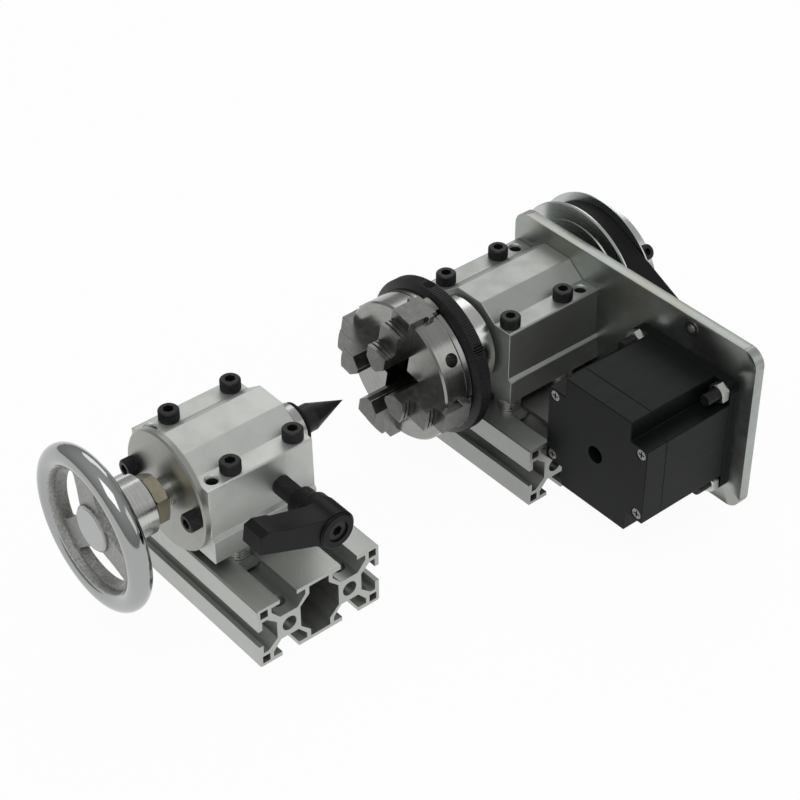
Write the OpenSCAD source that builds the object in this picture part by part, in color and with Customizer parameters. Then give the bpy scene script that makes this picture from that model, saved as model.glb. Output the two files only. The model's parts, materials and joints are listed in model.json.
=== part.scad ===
// Small rotary fourth axis for a milling table: a belt-driven headstock with a
// four-jaw scroll chuck, and a separate tailstock with a screw-fed quill.
// X runs along the spindle towards the motor plate, Z is up. The origin is on
// the table, under the spindle, in the middle of the headstock's base profile.

/* [Centre line] */
// Height of the spindle and quill above the table
axis_h = 57; // [54:0.5:66]

/* [Base profile] */
// Width of the twin slot profile
profile_w = 60; // [56:0.5:70]
// Height of the profile
profile_h = 30; // [30:0.5:33]
// Length of each profile across the spindle
profile_len = 102; // [84:1:102]
// Distance between the two top slots
slot_pitch = 30; // [29:0.5:31]
// Width of a slot mouth
slot_w = 8.2; // [7.6:0.1:9]
// Thickness of the slot lips
slot_lip = 2; // [1.6:0.1:2.4]
// Width of the undercut behind the lips
slot_under_w = 16.5; // [15.8:0.1:17]
// Depth of a slot
slot_depth = 9; // [8.4:0.1:9.6]
// Diameter of the two core holes
core_d = 6.8; // [5:0.1:7.4]
// Diameter of the hold-down holes
hold_d = 6.6; // [5:0.1:7]
// Distance of the hold-down holes from the profile's ends
hold_inset = 8; // [7.5:0.5:12]

/* [Housings] */
// Length of the headstock housing along the spindle
head_len = 51; // [46:0.5:60]
// Length of the headstock housing on the chuck side of the origin
head_front = 20; // [19:0.5:24]
// Length of the tailstock housing
tail_len = 50; // [46:0.5:60]
// Width of a housing above its ledge
housing_w = 51.6; // [50:0.2:56]
// Overhang of the wider foot on each side
foot_step = 1.6; // [0.8:0.1:3]
// Height of the washers' top, on which a housing stands
housing_z = 35.5; // [34.5:0.1:38]
// Height of the ledge's upper edge
ledge_z = 48.4; // [44:0.1:52]
// Height of the flat bolt shoulders
shoulder_z = 71.5; // [70:0.1:74]
// Height of the raised back
back_z = 78; // [77:0.1:84]
// Width of the raised back's flat
back_w = 15; // [8:0.5:24]
// Width between the feet of the sloping flanks
flank_w = 32.6; // [30.5:0.2:33]
// Spacing of the bolts across a housing
bolt_span = 41; // [40.8:0.1:42]
// Diameter of the empty tapped holes beside the bolts
spare_d = 5; // [4:0.1:5.6]
// Depth of the tapped holes
spare_depth = 8.5; // [7:0.1:9]
// Distance of the tapped holes from the housing's end
spare_inset = 5.6; // [5:0.1:6.6]

/* [Bolts] */
// Diameter of the housing bolts
bolt_d = 5; // [4:0.1:5.2]
// Diameter of a bolt head
bolt_head_d = 8.5; // [7.5:0.1:9]
// Height of a bolt head
bolt_head_h = 5; // [4:0.1:6]
// Size of a bolt's hexagon socket
bolt_hex = 4; // [3:0.1:4.2]
// Diameter of the washers under a housing
washer_d = 12; // [11:0.1:13]
// Number of washers in a stack
washer_n = 4; // [2:1:5]

/* [Spindle] */
// Diameter of the spindle
spindle_d = 20; // [18:0.1:21]
// Diameter of the bore through the spindle
spindle_bore_d = 13; // [8:0.1:14]
// Outer diameter of the spindle bearings
bearing_od = 32; // [30:0.1:33]
// Width of a spindle bearing
bearing_w = 7; // [6:0.1:8]

/* [Chuck] */
// Diameter of the chuck body
chuck_d = 63; // [62:0.2:66]
// Distance from the chuck face to the housing
chuck_reach = 39.6; // [38:0.1:44]
// Thickness of the chuck body behind its face
chuck_front_t = 14.3; // [13:0.1:16]
// Diameter of the chuck's throat
throat_d = 16; // [12:0.1:17]
// Diameter of the knurled scroll ring
scroll_d = 69.8; // [67:0.1:76]
// Width of the scroll ring
scroll_w = 7.6; // [6:0.1:8.4]
// Diameter of the chuck's back plate
back_hub_d = 39; // [36:0.5:42]
// Gap between the back plate and the housing
back_hub_gap = 1.5; // [1:0.1:3]
// Width of a jaw and its slot
jaw_w = 11; // [9:0.1:11.4]
// Radius from the axis to the jaw tips as shown
jaw_tip_r = 9; // [8.6:0.1:10]
// Angle of the first jaw above the horizontal
jaw_angle = 11; // [0:1:44]
// Pitch of the scroll
scroll_pitch = 3; // [2.9:0.05:3.2]
// Height of the jaw steps above the chuck face, lowest first
jaw_low_h = 3; // [2:0.1:4]
// Height of the middle step
jaw_mid_h = 8.5; // [7:0.1:10]
// Height of the top step
jaw_top_h = 14; // [12:0.1:16]
// Radius of the top step's ground face
jaw_top_r = 20; // [18:0.1:21]
// Radius of the middle step's ground face
jaw_mid_r = 29; // [27:0.1:30]
// Radius of the outer end of a jaw
jaw_end_r = 34; // [32.5:0.1:35]
// Diameter of the bar holes in the scroll ring
bar_hole_d = 5; // [3:0.1:5.4]
// Number of bar holes in the scroll ring
bar_hole_n = 6; // [3:1:8]

/* [Belt drive] */
// Teeth on the spindle pulley
big_teeth = 40; // [38:1:42]
// Teeth on the motor pulley
small_teeth = 14; // [13:1:14]
// Teeth on the belt
belt_teeth = 60; // [58:1:62]
// Pitch of the belt teeth
belt_pitch = 5.08; // [5:0.01:5.1]
// Width of the belt
belt_w = 10; // [7:0.1:10.4]
// Distance from the plate to the spindle pulley
pulley_gap = 6.8; // [4:0.1:9]
// Thickness of a pulley flange
flange_t = 1.4; // [1:0.1:2]
// Height of a pulley flange above the teeth
flange_rise = 4.5; // [3:0.1:6]
// Diameter of the spindle pulley's hub
pulley_hub_d = 58; // [44:1:60]
// Length of the spindle pulley's hub
pulley_hub_len = 9; // [8.5:0.1:12]
// Angle of the pulley's clamp screw above the horizontal
clamp_angle = 141; // [0:1:359]

/* [Motor] */
// Length of the motor
motor_len = 52; // [42:1:58]
// Height of the spindle above the motor shaft
motor_drop = 15.1; // [11:0.1:20]
// Spacing of the motor's bolts
motor_bolt_span = 47.14; // [46.5:0.01:48]
// Distance of the motor's bolts from its sides
motor_edge = 4.63; // [4.5:0.01:6]
// Thickness of the motor's front flange
motor_flange_t = 5; // [4:0.1:6]
// Diameter of the motor's pilot
motor_pilot_d = 38.1; // [36:0.1:40]
// Diameter of the motor's shaft
motor_shaft_d = 8; // [6:0.1:9]

/* [Plate] */
// Thickness of the motor plate
plate_t = 5; // [4:0.1:6]
// Height of the plate's lower edge
plate_z0 = 5; // [2:0.5:8]
// Height of the plate's upper edge
plate_z1 = 86.4; // [84:0.1:92]
// Reach of the plate behind the spindle
plate_back = 27; // [25:0.5:36]
// Margin of the plate beyond the motor
plate_margin = 7.2; // [2:0.1:12]
// Length of the motor plate's screws
plate_screw_len = 12; // [8:0.5:13]
// Radius of the plate's corners
plate_r = 7.5; // [3:0.5:12]

/* [Tailstock] */
// Distance from the origin to the tailstock housing's outer face
tail_x = 174; // [172:0.5:260]
// Shift of the tailstock's profile along its slots
tail_shift = -3; // [-6:0.5:6]
// Distance of the first bolts from that face
tail_bolt_inset = 14.5; // [13:0.5:17]
// Diameter of the quill
quill_d = 20; // [18:0.1:21]
// Length of quill that shows beyond the housing
quill_out = 10.5; // [10:0.1:14]
// Diameter of the feed screw
screw_d = 12; // [10:0.1:12.6]
// Diameter of the turning centre
centre_d = 12; // [10:0.1:16]
// Length of the centre's point
centre_len = 17; // [14:0.1:20]
// Diameter of the end disc
disc_d = 52.4; // [50.6:0.2:53]
// Thickness of the end disc
disc_t = 3; // [2.5:0.1:4]
// Spacing of the end disc's two screws
disc_span = 42; // [40:0.1:42.4]
// Length of the end disc's screws
disc_screw_len = 11; // [8:0.5:11.5]
// Depth of the feed screw in the tailstock
screw_reach = 36; // [28:0.5:38]

/* [Handwheel] */
// Outer diameter of the handwheel
wheel_d = 71.4; // [66:0.2:96]
// Diameter of the rim's round section
rim_d = 9.7; // [8.5:0.1:14]
// Distance of the rim from the end disc
wheel_out = 33; // [31:0.5:40]
// Diameter of the turned hub
hub_d = 25.4; // [22:0.1:28]
// Length of the turned hub
hub_len = 12.5; // [10:0.1:13]
// Number of spokes
spoke_n = 3; // [3:1:6]
// Angle of the first spoke above the horizontal
wheel_turn = 79.5; // [0:0.5:119.5]
// Width of a spoke
spoke_w = 12.5; // [8:0.5:18]
// Size of the lock nut across its flats
lock_nut_af = 19; // [17:0.1:22]

/* [Clamp lever] */
// Distance of the clamp stud from the tailstock's outer face
lever_inset = 33.8; // [30:0.1:38]
// Diameter of the clamp stud
stud_d = 8; // [6:0.1:8.4]
// Distance of the lever's hub from the spindle's plane
lever_y = 38; // [33:0.5:44]
// Length of the lever's hub
lever_hub_len = 24; // [20:0.5:30]
// Length of the lever's arm
lever_len = 34; // [30:1:60]
// Angle of the arm above the horizontal
lever_angle = 20; // [0:1:60]

/* [Fits] */
// Radial clearance of running and sliding fits
run_fit = 0.05; // [0.02:0.01:0.1]
// Clearance of bolts in their holes
bolt_fit = 0.25; // [0.1:0.05:0.5]
// Working gap between pieces that move past each other
work_gap = 0.2; // [0.1:0.05:0.4]

/* [Hidden] */
$fn = 64;
e = 0.01;
half_w = profile_w / 2;
slot_x = slot_pitch / 2;
head_x0 = -head_front;
head_x1 = head_len - head_front;
tail_x0 = -tail_x;
tail_x1 = tail_x0 + tail_len;
tail_cx = tail_x0 + tail_bolt_inset + slot_x;
washer_t = (housing_z - profile_h) / washer_n;

// Chuck planes along the spindle
face_x = head_x0 - chuck_reach;
front_x = face_x + chuck_front_t;
ring_x0 = front_x + work_gap / 2;
ring_x1 = ring_x0 + scroll_w;
hub_x0 = ring_x1 + work_gap / 2;
hub_x1 = head_x0 - back_hub_gap;
chuck_r = chuck_d / 2;
scroll_hub_r = 14;
recess_d = 3;
recess_x = front_x - recess_d;
recess_r = chuck_r - 2.2;
tongue_x = face_x + 6;
tongue_t = 3;
tongue_w = jaw_w + 3.2;
ridge_t = 1.1;
ridge_h = recess_d - 0.5;
spiral_r0 = scroll_hub_r + 1.6;
spiral_r1 = recess_r - 0.9;
spiral_turns = (spiral_r1 - spiral_r0) / scroll_pitch;
spiral_steps = floor(spiral_turns * 48);
jaw_tooth_w = 8;
jaw_first_r = 22.2;
chuck_screw_r = scroll_hub_r - 1.6;

// Belt drive in the plane across the spindle
big_r = big_teeth * belt_pitch / PI / 2;
small_r = small_teeth * belt_pitch / PI / 2;
belt_len = belt_teeth * belt_pitch;
pitch_rise = 0.254;
belt_back = 0.78;
tooth_h = 1.2;
groove_d = 1.45;
function lean(c) = asin((big_r - small_r) / c);
function next_c(c) = (belt_len - PI * (big_r + small_r) - 2 * lean(c) * PI / 180 * (big_r - small_r))
    / (2 * cos(lean(c)));
function solve_c(c, n) = n == 0 ? c : solve_c(next_c(c), n - 1);
belt_c = solve_c(belt_len / 3.6, 40);
belt_lean = lean(belt_c);
motor_y = -sqrt(belt_c * belt_c - motor_drop * motor_drop);
motor_z = axis_h - motor_drop;
belt_dir = atan2(-motor_drop, motor_y);
arc_big = (90 + belt_lean) * PI / 180 * big_r;
span_len = belt_c * cos(belt_lean);
// Start of a straight run, in which a tooth would still reach a pulley of pitch radius r
function run_in(r) = sqrt(2 * r * (tooth_h + 0.25)) + 1.3;
first_tooth = ceil((arc_big + run_in(big_r)) / belt_pitch);
last_tooth = floor((arc_big + span_len - run_in(small_r)) / belt_pitch);

plate_x = head_x1;
plate_x1 = plate_x + plate_t;
motor_w = motor_bolt_span + 2 * motor_edge;
motor_nut_af = 8;
motor_notch = motor_edge + motor_nut_af / 2 / cos(30) + bolt_fit;
plate_y0 = motor_y - motor_w / 2 - plate_margin;
pulley_x = plate_x1 + pulley_gap;
teeth_x = pulley_x + flange_t;
teeth_w = belt_w + 0.4;
pulley_x1 = teeth_x + teeth_w + flange_t;
big_flange_r = big_r + flange_rise;
small_flange_r = small_r + 2.6;

motor_x0 = plate_x - motor_len;
motor_half = motor_w / 2;
head_shift = motor_y + motor_half + 0.45 + profile_len / 2;

// Tailstock planes
quill_x1 = tail_x1 + quill_out;
quill_x0 = tail_x0 + 13;
disc_x = tail_x0 - disc_t;
nut_x1 = disc_x - 4;
nut_t = 6.5;
hub_end_x = nut_x1 - nut_t;
wheel_x = disc_x - wheel_out;
screw_tip_x = tail_x0 + screw_reach;
stud_x = tail_x0 + lever_inset;
lever_y1 = lever_y + lever_hub_len;
lever_screw_r = 1.9;
lever_head_w = lever_y1 - 3.6;
lever_web1 = lever_y1 - 9;
lever_web0 = lever_web1 - 2.5;
stud_end = lever_web0 - 0.3;

// Places a YZ section, drawn as (y, z), at x and lets it run along X
module across(x) {
    translate([x, 0, 0]) rotate([90, 0, 90]) children();
}

// Turns a (radius, x) section about the spindle line
module turned(x = 0, fn = 96) {
    translate([x, 0, axis_h]) rotate([90, 0, 90]) rotate_extrude($fn = fn) children();
}

// Plain cylinder along X about a line at (y, z)
module x_rod(x0, x1, r, y = 0, z = axis_h, fn = 64) {
    translate([x0, y, z]) rotate([0, 90, 0]) cylinder(r = r, h = x1 - x0, $fn = fn);
}

// Rectangle with chamfered corners
module chamfered(w, h, c) {
    polygon([[-w / 2 + c, -h / 2], [w / 2 - c, -h / 2], [w / 2, -h / 2 + c], [w / 2, h / 2 - c],
        [w / 2 - c, h / 2], [-w / 2 + c, h / 2], [-w / 2, h / 2 - c], [-w / 2, -h / 2 + c]]);
}

// Rectangle with round corners, from its lower left corner
module round_rect(w, h, r) {
    translate([r, 0]) square([w - 2 * r, h]);
    translate([0, r]) square([w, h - 2 * r]);
    for (x = [r, w - r], y = [r, h - r]) translate([x, y]) circle(r = r, $fn = 48);
}

// Socket cap screw standing on z = 0 with its shank below
module cap_screw(d, len, head_d, head_h, hex) {
    difference() {
        union() {
            rotate_extrude($fn = 48)
                polygon([[0, 0], [head_d / 2, 0], [head_d / 2, head_h - 0.5],
                    [head_d / 2 - 0.5, head_h], [0, head_h]]);
            translate([0, 0, -len]) cylinder(d = d, h = len + e, $fn = 32);
        }
        translate([0, 0, head_h * 0.45]) cylinder(d = hex / cos(30), h = head_h, $fn = 6);
    }
}

// Hexagon nut from z = 0 up
module hex_nut(af, d, t) {
    difference() {
        intersection() {
            cylinder(d = af / cos(30), h = t, $fn = 6);
            rotate_extrude($fn = 48)
                polygon([[0, 0], [af / 2 - 0.2, 0], [af / 2 / cos(30), af * 0.05],
                    [af / 2 / cos(30), t - af * 0.05], [af / 2 - 0.2, t], [0, t]]);
        }
        translate([0, 0, -1]) cylinder(d = d, h = t + 2, $fn = 32);
    }
}

// One slot, opening towards +y at the origin
module slot_2d() {
    polygon([[-slot_w / 2, 1], [-slot_w / 2, -slot_lip], [-slot_under_w / 2, -slot_lip],
        [-slot_under_w / 2, -slot_lip - 2.4], [-4.3, -slot_depth], [4.3, -slot_depth],
        [slot_under_w / 2, -slot_lip - 2.4], [slot_under_w / 2, -slot_lip],
        [slot_w / 2, -slot_lip], [slot_w / 2, 1]]);
}

// Section of the twin slot profile, centred in x and standing on y = 0
module profile_2d() {
    mid = profile_h / 2;
    corner = 3.6;
    rib = slot_x - slot_under_w / 2 - 1.9;
    wide = slot_x - 5.5;
    difference() {
        translate([0, mid]) chamfered(profile_w, profile_h, 0.7);
        for (x = [-slot_x, slot_x]) {
            translate([x, profile_h]) slot_2d();
            translate([x, 0]) rotate(180) slot_2d();
            translate([x, mid]) circle(d = core_d, $fn = 48);
        }
        for (s = [-1, 1]) {
            translate([s * half_w, mid]) rotate(-90 * s) slot_2d();
            for (t = [-1, 1])
                translate([s * (half_w - 1.4 - corner / 2), mid + t * (mid - 1.4 - corner / 2)])
                    square(corner, center = true);
        }
        polygon([[-rib, 1.7], [rib, 1.7], [rib, 5.3], [wide, 9.8], [wide, profile_h - 9.8],
            [rib, profile_h - 5.3], [rib, profile_h - 1.7], [-rib, profile_h - 1.7],
            [-rib, profile_h - 5.3], [-wide, profile_h - 9.8], [-wide, 9.8], [-rib, 5.3]]);
    }
}

module base_profile(cx, cy) {
    color([0.72, 0.73, 0.72])
    difference() {
        translate([cx, cy + profile_len / 2, 0]) rotate([90, 0, 0])
            linear_extrude(profile_len) profile_2d();
        for (x = [-slot_x, slot_x], s = [-1, 1]) {
            translate([cx + x, cy + s * (profile_len / 2 - hold_inset), 0]) {
                translate([0, 0, -1]) cylinder(d = hold_d, h = profile_h);
            }
        }
    }
}

module washer_stacks(cx) {
    color([0.8, 0.8, 0.78])
    for (x = [-slot_x, slot_x], y = [-bolt_span / 2, bolt_span / 2])
        translate([cx + x, y, profile_h])
            difference() {
                cylinder(d = washer_d, h = washer_t * washer_n, $fn = 48);
                translate([0, 0, -1]) cylinder(d = bolt_d + bolt_fit, h = 20, $fn = 32);
                for (i = [1:washer_n - 1])
                    translate([0, 0, i * washer_t - 0.1])
                        difference() {
                            cylinder(d = washer_d + 1, h = 0.2, $fn = 48);
                            translate([0, 0, -1]) cylinder(d = washer_d - 0.8, h = 3, $fn = 48);
                        }
            }
}

module tee_nuts(cx) {
    top = profile_h - slot_lip - 0.05;
    w = slot_under_w / 2 - 0.45;
    color([0.62, 0.62, 0.6])
    for (x = [-slot_x, slot_x], y = [-bolt_span / 2, bolt_span / 2])
        translate([cx + x, y, 0])
            difference() {
                translate([0, 6, 0]) rotate([90, 0, 0]) linear_extrude(12)
                    polygon([[-w, top], [-w, top - 2.1], [-w + 2.6, top - 4.8], [w - 2.6, top - 4.8],
                        [w, top - 2.1], [w, top], [slot_w / 2 - 0.15, top],
                        [slot_w / 2 - 0.15, profile_h - 0.3], [-slot_w / 2 + 0.15, profile_h - 0.3],
                        [-slot_w / 2 + 0.15, top]]);
                translate([0, 0, top - 6]) cylinder(d = bolt_d, h = 12, $fn = 32);
            }
}

module housing_bolts(cx) {
    color([0.09, 0.09, 0.1])
    for (x = [-slot_x, slot_x], y = [-bolt_span / 2, bolt_span / 2])
        translate([cx + x, y, shoulder_z])
            cap_screw(bolt_d, shoulder_z - profile_h + slot_lip + 4.6, bolt_head_d, bolt_head_h, bolt_hex);
}

// Section of a housing, drawn as (y, z)
module housing_2d() {
    w = housing_w / 2;
    f = w + foot_step;
    c = 0.6;
    right = [[f - c, housing_z], [f, housing_z + c], [f, ledge_z - foot_step], [w, ledge_z],
        [w, shoulder_z - c], [w - c, shoulder_z], [flank_w / 2, shoulder_z], [back_w / 2, back_z]];
    polygon(concat(right, [for (i = [len(right) - 1:-1:0]) [-right[i][0], right[i][1]]]));
}

// Bolt holes and empty tapped holes of a housing
module housing_holes(cx, spare_x) {
    for (x = [-slot_x, slot_x], y = [-bolt_span / 2, bolt_span / 2])
        translate([cx + x, y, housing_z - 1]) cylinder(d = bolt_d + 2 * bolt_fit, h = 60, $fn = 32);
    for (y = [-bolt_span / 2, bolt_span / 2])
        translate([spare_x, y, shoulder_z]) {
            translate([0, 0, -spare_depth]) cylinder(d = spare_d, h = spare_depth + 6, $fn = 32);
            translate([0, 0, -0.7]) cylinder(d1 = spare_d, d2 = spare_d + 1.8, h = 0.9, $fn = 32);
        }
}

module headstock_profile() { base_profile(0, head_shift); }
module headstock_washers() { washer_stacks(0); }
module headstock_tee_nuts() { tee_nuts(0); }
module headstock_bolts() { housing_bolts(0); }

module headstock_housing() {
    color([0.76, 0.77, 0.76])
    difference() {
        across(head_x0) linear_extrude(head_len) housing_2d();
        housing_holes(0, head_x1 - spare_inset);
        x_rod(head_x0 - 1, head_x1 + 1, spindle_d / 2 + 2);
        x_rod(head_x0 - 1, head_x0 + bearing_w, bearing_od / 2);
        x_rod(head_x1 - bearing_w, head_x1 + 1, bearing_od / 2);
        for (p = plate_screw_at()) x_rod(head_x1 - 9, head_x1 + 1, 2, p[0], p[1], 32);
    }
}

module spindle_bearings() {
    r1 = spindle_d / 2 + run_fit;
    r2 = bearing_od / 2;
    t = (r2 - r1) / 3.4;
    color([0.55, 0.56, 0.57])
    for (x = [head_x0, head_x1 - bearing_w])
        turned(x)
            polygon([[r1, 0.2], [r1 + t, 0.2], [r1 + t, 0.7], [r2 - t, 0.7], [r2 - t, 0], [r2, 0],
                [r2, bearing_w], [r2 - t, bearing_w], [r2 - t, bearing_w - 0.5],
                [r1 + t, bearing_w - 0.5], [r1 + t, bearing_w], [r1, bearing_w]]);
}

// The upper plate screws pass below the tapped holes
function plate_screw_at() = [for (s = [-1, 1], z = [housing_z + 6, shoulder_z - spare_depth - 3.5])
    [s * (bearing_od / 2 + 3.6), z]];

module motor_plate() {
    color([0.68, 0.7, 0.69])
    difference() {
        across(plate_x) linear_extrude(plate_t)
            translate([plate_y0, plate_z0])
                round_rect(plate_back - plate_y0, plate_z1 - plate_z0, plate_r);
        x_rod(plate_x - 1, plate_x1 + 1, spindle_d / 2 + 2.5);
        x_rod(plate_x - 1, plate_x1 + 1, motor_pilot_d / 2 + 0.1, motor_y, motor_z, 96);
        for (p = motor_bolt_at()) x_rod(plate_x - 1, plate_x1 + 1, bolt_d / 2 + bolt_fit, p[0], p[1], 32);
        for (p = plate_screw_at()) {
            x_rod(plate_x - 1, plate_x1 + 1, 2.2, p[0], p[1], 32);
            translate([plate_x1 - 2.2, p[0], p[1]]) rotate([0, 90, 0])
                cylinder(r1 = 2.2, r2 = 4.45, h = 2.25, $fn = 32);
        }
        x_rod(plate_x - 1, plate_x1 + 1, 3.4, motor_y, plate_z1 - 5.3, 32);
    }
}

module plate_screws() {
    color([0.12, 0.12, 0.13])
    for (p = plate_screw_at())
        translate([plate_x1 - 0.1, p[0], p[1]]) rotate([0, 90, 0])
            difference() {
                union() {
                    translate([0, 0, -2.1]) cylinder(r1 = 2, r2 = 4.1, h = 2.1, $fn = 32);
                    translate([0, 0, -plate_screw_len]) cylinder(r = 2, h = plate_screw_len - 2, $fn = 32);
                }
                translate([0, 0, -1.4]) cylinder(d = 2.5 / cos(30), h = 2, $fn = 6);
            }
}

module plate_insert() {
    color([0.8, 0.81, 0.82])
    translate([plate_x - 0.4, motor_y, plate_z1 - 5.3]) rotate([0, 90, 0])
        difference() {
            cylinder(r = 3.4, h = plate_t + 0.4, $fn = 32);
            translate([0, 0, -1]) cylinder(r = 2.1, h = plate_t + 2, $fn = 32);
        }
}

function motor_bolt_at() = [for (a = [-1, 1], b = [-1, 1])
    [motor_y + a * motor_bolt_span / 2, motor_z + b * motor_bolt_span / 2]];

// Motor section with its four corners notched
module motor_2d() {
    h = motor_half;
    n = h - motor_notch;
    translate([motor_y, motor_z])
        difference() {
            chamfered(motor_w, motor_w, 0.5);
            for (a = [-1, 1], b = [-1, 1])
                translate([a * (n + motor_notch), b * (n + motor_notch)])
                    rotate(a * b > 0 ? 0 : 90)
                        square(2 * motor_notch, center = true);
        }
}

module motor_flange() {
    color([0.07, 0.07, 0.08])
    difference() {
        union() {
            across(plate_x - motor_flange_t) linear_extrude(motor_flange_t)
                translate([motor_y - motor_half, motor_z - motor_half]) round_rect(motor_w, motor_w, 4.5);
            x_rod(plate_x - e, plate_x + 1.6, motor_pilot_d / 2, motor_y, motor_z, 96);
        }
        x_rod(plate_x - motor_flange_t - 1, plate_x + 3, motor_shaft_d / 2 + run_fit, motor_y, motor_z);
        for (p = motor_bolt_at())
            x_rod(plate_x - motor_flange_t - 1, plate_x + 3, bolt_d / 2 + bolt_fit, p[0], p[1], 32);
    }
}

module motor_body() {
    cap = 11;
    color([0.05, 0.05, 0.06])
    difference() {
        across(motor_x0 + cap) linear_extrude(motor_len - cap - motor_flange_t) motor_2d();
        x_rod(plate_x - motor_flange_t - 9, plate_x, motor_shaft_d / 2 + 3, motor_y, motor_z);
        x_rod(motor_x0 + cap - 1, motor_x0 + cap + 6, 5, motor_y, motor_z);
    }
}

module motor_rear_cap() {
    cap = 11;
    color([0.07, 0.07, 0.08])
    difference() {
        across(motor_x0) linear_extrude(cap) motor_2d();
        x_rod(motor_x0 - 1, motor_x0 + cap + 1, 4, motor_y, motor_z, 48);
        for (p = cap_screw_at()) x_rod(motor_x0 - 1, motor_x0 + 2.2, 2.6, p[0], p[1], 32);
    }
}

function cap_screw_at() = [for (a = [-1, 1], b = [-1, 1])
    [motor_y + a * (motor_half - 3.4), motor_z + b * (motor_half - motor_notch - 3.2)]];

module motor_cap_screws() {
    color([0.75, 0.75, 0.74])
    for (p = cap_screw_at())
        translate([motor_x0 + 2.2, p[0], p[1]]) rotate([0, -90, 0])
            difference() {
                cylinder(r = 2.4, h = 1.9, $fn = 32);
                translate([-0.35, -1.6, 1]) cube([0.7, 3.2, 2]);
                translate([-1.6, -0.35, 1]) cube([3.2, 0.7, 2]);
            }
}

module motor_bolts() {
    color([0.1, 0.1, 0.11])
    for (p = motor_bolt_at())
        translate([plate_x1, p[0], p[1]]) rotate([0, 90, 0])
            cap_screw(bolt_d, plate_t + motor_flange_t + 10.5, bolt_head_d, bolt_head_h, bolt_hex);
}

module motor_nuts() {
    color([0.78, 0.78, 0.77])
    for (p = motor_bolt_at())
        translate([plate_x - motor_flange_t - 4, p[0], p[1]]) rotate([0, 90, 0])
            hex_nut(motor_nut_af, bolt_d, 4);
}

module motor_grommet() {
    color([0.04, 0.04, 0.04])
    translate([motor_x0 + 17, motor_y, motor_z - motor_half])
        difference() {
            translate([0, 0, -2.4]) linear_extrude(2.4) chamfered(9, 12, 1.5);
            translate([0, 0, -3]) cylinder(r = 2.2, h = 2.2, $fn = 32);
        }
}

// Where a belt tooth sits: [y, z, angle of the outward normal], t along the upper straight run
function tooth_at(t) = let (n = belt_dir + 90 - belt_lean)
    [big_r * cos(n) + t * cos(n - 90), big_r * sin(n) + t * sin(n - 90), n];

// Loop around both pulleys, grown by g from the pitch line, about the spindle line
module belt_loop_2d(g) {
    n = belt_dir + 90 - belt_lean;
    m = belt_dir - 90 + belt_lean;
    cy = belt_c * cos(belt_dir);
    cz = belt_c * sin(belt_dir);
    circle(r = big_r + g, $fn = 128);
    translate([cy, cz]) circle(r = small_r + g, $fn = 64);
    polygon([[(big_r + g) * cos(n), (big_r + g) * sin(n)],
        [cy + (small_r + g) * cos(n), cz + (small_r + g) * sin(n)],
        [cy + (small_r + g) * cos(m), cz + (small_r + g) * sin(m)],
        [(big_r + g) * cos(m), (big_r + g) * sin(m)]]);
}

module belt_tooth_2d() {
    polygon([[0.2, -1.2], [0.2, 1.2], [-tooth_h, 0.66], [-tooth_h, -0.66]]);
}

// The loop stays still while the pulleys turn, so its teeth stop short of both pulleys
module drive_belt() {
    color([0.06, 0.06, 0.06])
    translate([0, 0, axis_h]) across(teeth_x + 0.2) linear_extrude(belt_w) {
        difference() {
            belt_loop_2d(belt_back);
            belt_loop_2d(-pitch_rise);
        }
        for (i = [first_tooth:last_tooth]) {
            t = tooth_at(i * belt_pitch - arc_big);
            translate([t[0], t[1]]) rotate(t[2]) translate([-pitch_rise, 0]) belt_tooth_2d();
            rotate(belt_dir) mirror([0, 1]) rotate(-belt_dir)
                translate([t[0], t[1]]) rotate(t[2]) translate([-pitch_rise, 0]) belt_tooth_2d();
        }
    }
}

// Toothed section of a pulley with its first groove at angle a0
module pulley_2d(r, n, a0) {
    top = r - pitch_rise - 0.08;
    difference() {
        circle(r = top, $fn = 128);
        for (i = [0:n - 1])
            rotate(a0 + i * 360 / n) translate([top, 0])
                polygon([[0.5, -1.75], [0.5, 1.75], [-groove_d, 0.9], [-groove_d, -0.9]]);
    }
}

module spindle_shaft() {
    tip = hub_x1 - 13;
    color([0.5, 0.51, 0.52])
    difference() {
        union() {
            x_rod(tip, pulley_x1 + pulley_hub_len + 1.5, spindle_d / 2);
            x_rod(hub_x1, head_x0 - 0.1, spindle_d / 2 + 2.4);
        }
        x_rod(tip - 1, pulley_x1 + pulley_hub_len + 3, spindle_bore_d / 2);
    }
}

// Slot of one jaw in the chuck body, running outwards along Y from the axis
module jaw_slot() {
    w = jaw_w / 2;
    translate([face_x - 1, 0, -w]) cube([chuck_front_t - recess_d + 1.3, chuck_r + 2, jaw_w]);
    translate([face_x, scroll_hub_r + 6, -w]) cube([chuck_front_t + 1, chuck_r, jaw_w]);
    translate([tongue_x, 0, -tongue_w / 2]) cube([tongue_t, chuck_r + 2, tongue_w]);
}

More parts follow.
